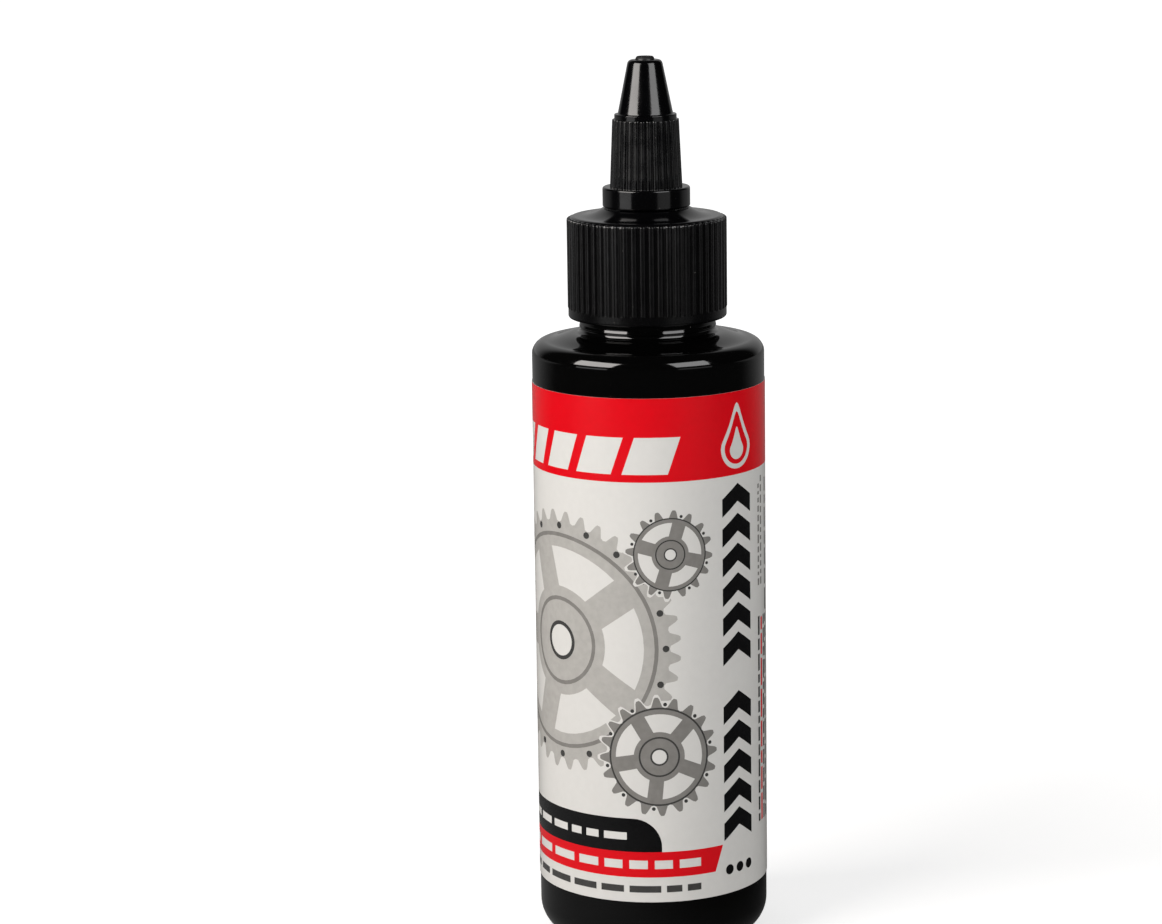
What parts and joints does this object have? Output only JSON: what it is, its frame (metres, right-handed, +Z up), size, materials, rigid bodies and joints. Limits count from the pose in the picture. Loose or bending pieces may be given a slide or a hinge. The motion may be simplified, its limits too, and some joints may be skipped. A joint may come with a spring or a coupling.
{
  "type": "chain lube bottle",
  "caption": "Small black cylinder bottle of chain lubricant with a ribbed screw cap, a twist-open nozzle with a sealing pin, and a red and white wrap-round label.",
  "frame": {"origin": "centre of the base, on the surface the bottle stands on", "axes": "+Z up along the bottle's axis, -Y towards the front of the label, +X to its right"},
  "size_m": [0.04, 0.04, 0.1529],
  "materials": {
    "bottle_black": "blow-moulded glossy black",
    "lubricant_amber": "clear amber liquid",
    "label_film": "satin printed film, red and white",
    "liner_foam": "soft white foam",
    "cap_black": "satin moulded black",
    "tip_black": "smooth moulded black"
  },
  "bodies": {
    "bottle": {"bottle": "bottle_black", "label": "label_film", "lubricant": "lubricant_amber"},
    "liner": {"cap_liner": "liner_foam"},
    "cap": {"screw_cap": "cap_black"},
    "tip": {"twist_tip": "tip_black"}
  },
  "joints": [
    {"name": "cap_lift", "type": "slide", "parent": "bottle", "child": "liner", "axis": [0, 0, 1], "range_m": [0, 0.0048]},
    {"name": "cap_turn", "type": "hinge", "parent": "liner", "child": "cap", "pos_m": [0, 0, 0.1172], "axis": [0, 0, 1], "range_deg": [0, 540]},
    {"name": "tip_rise", "type": "slide", "parent": "cap", "child": "tip", "axis": [0, 0, 1], "range_m": [0, 0.0038]}
  ],
  "couplings": [
    {"joint": "cap_lift", "follows": "cap_turn", "m_per_rad": 0.00050532}
  ]
}
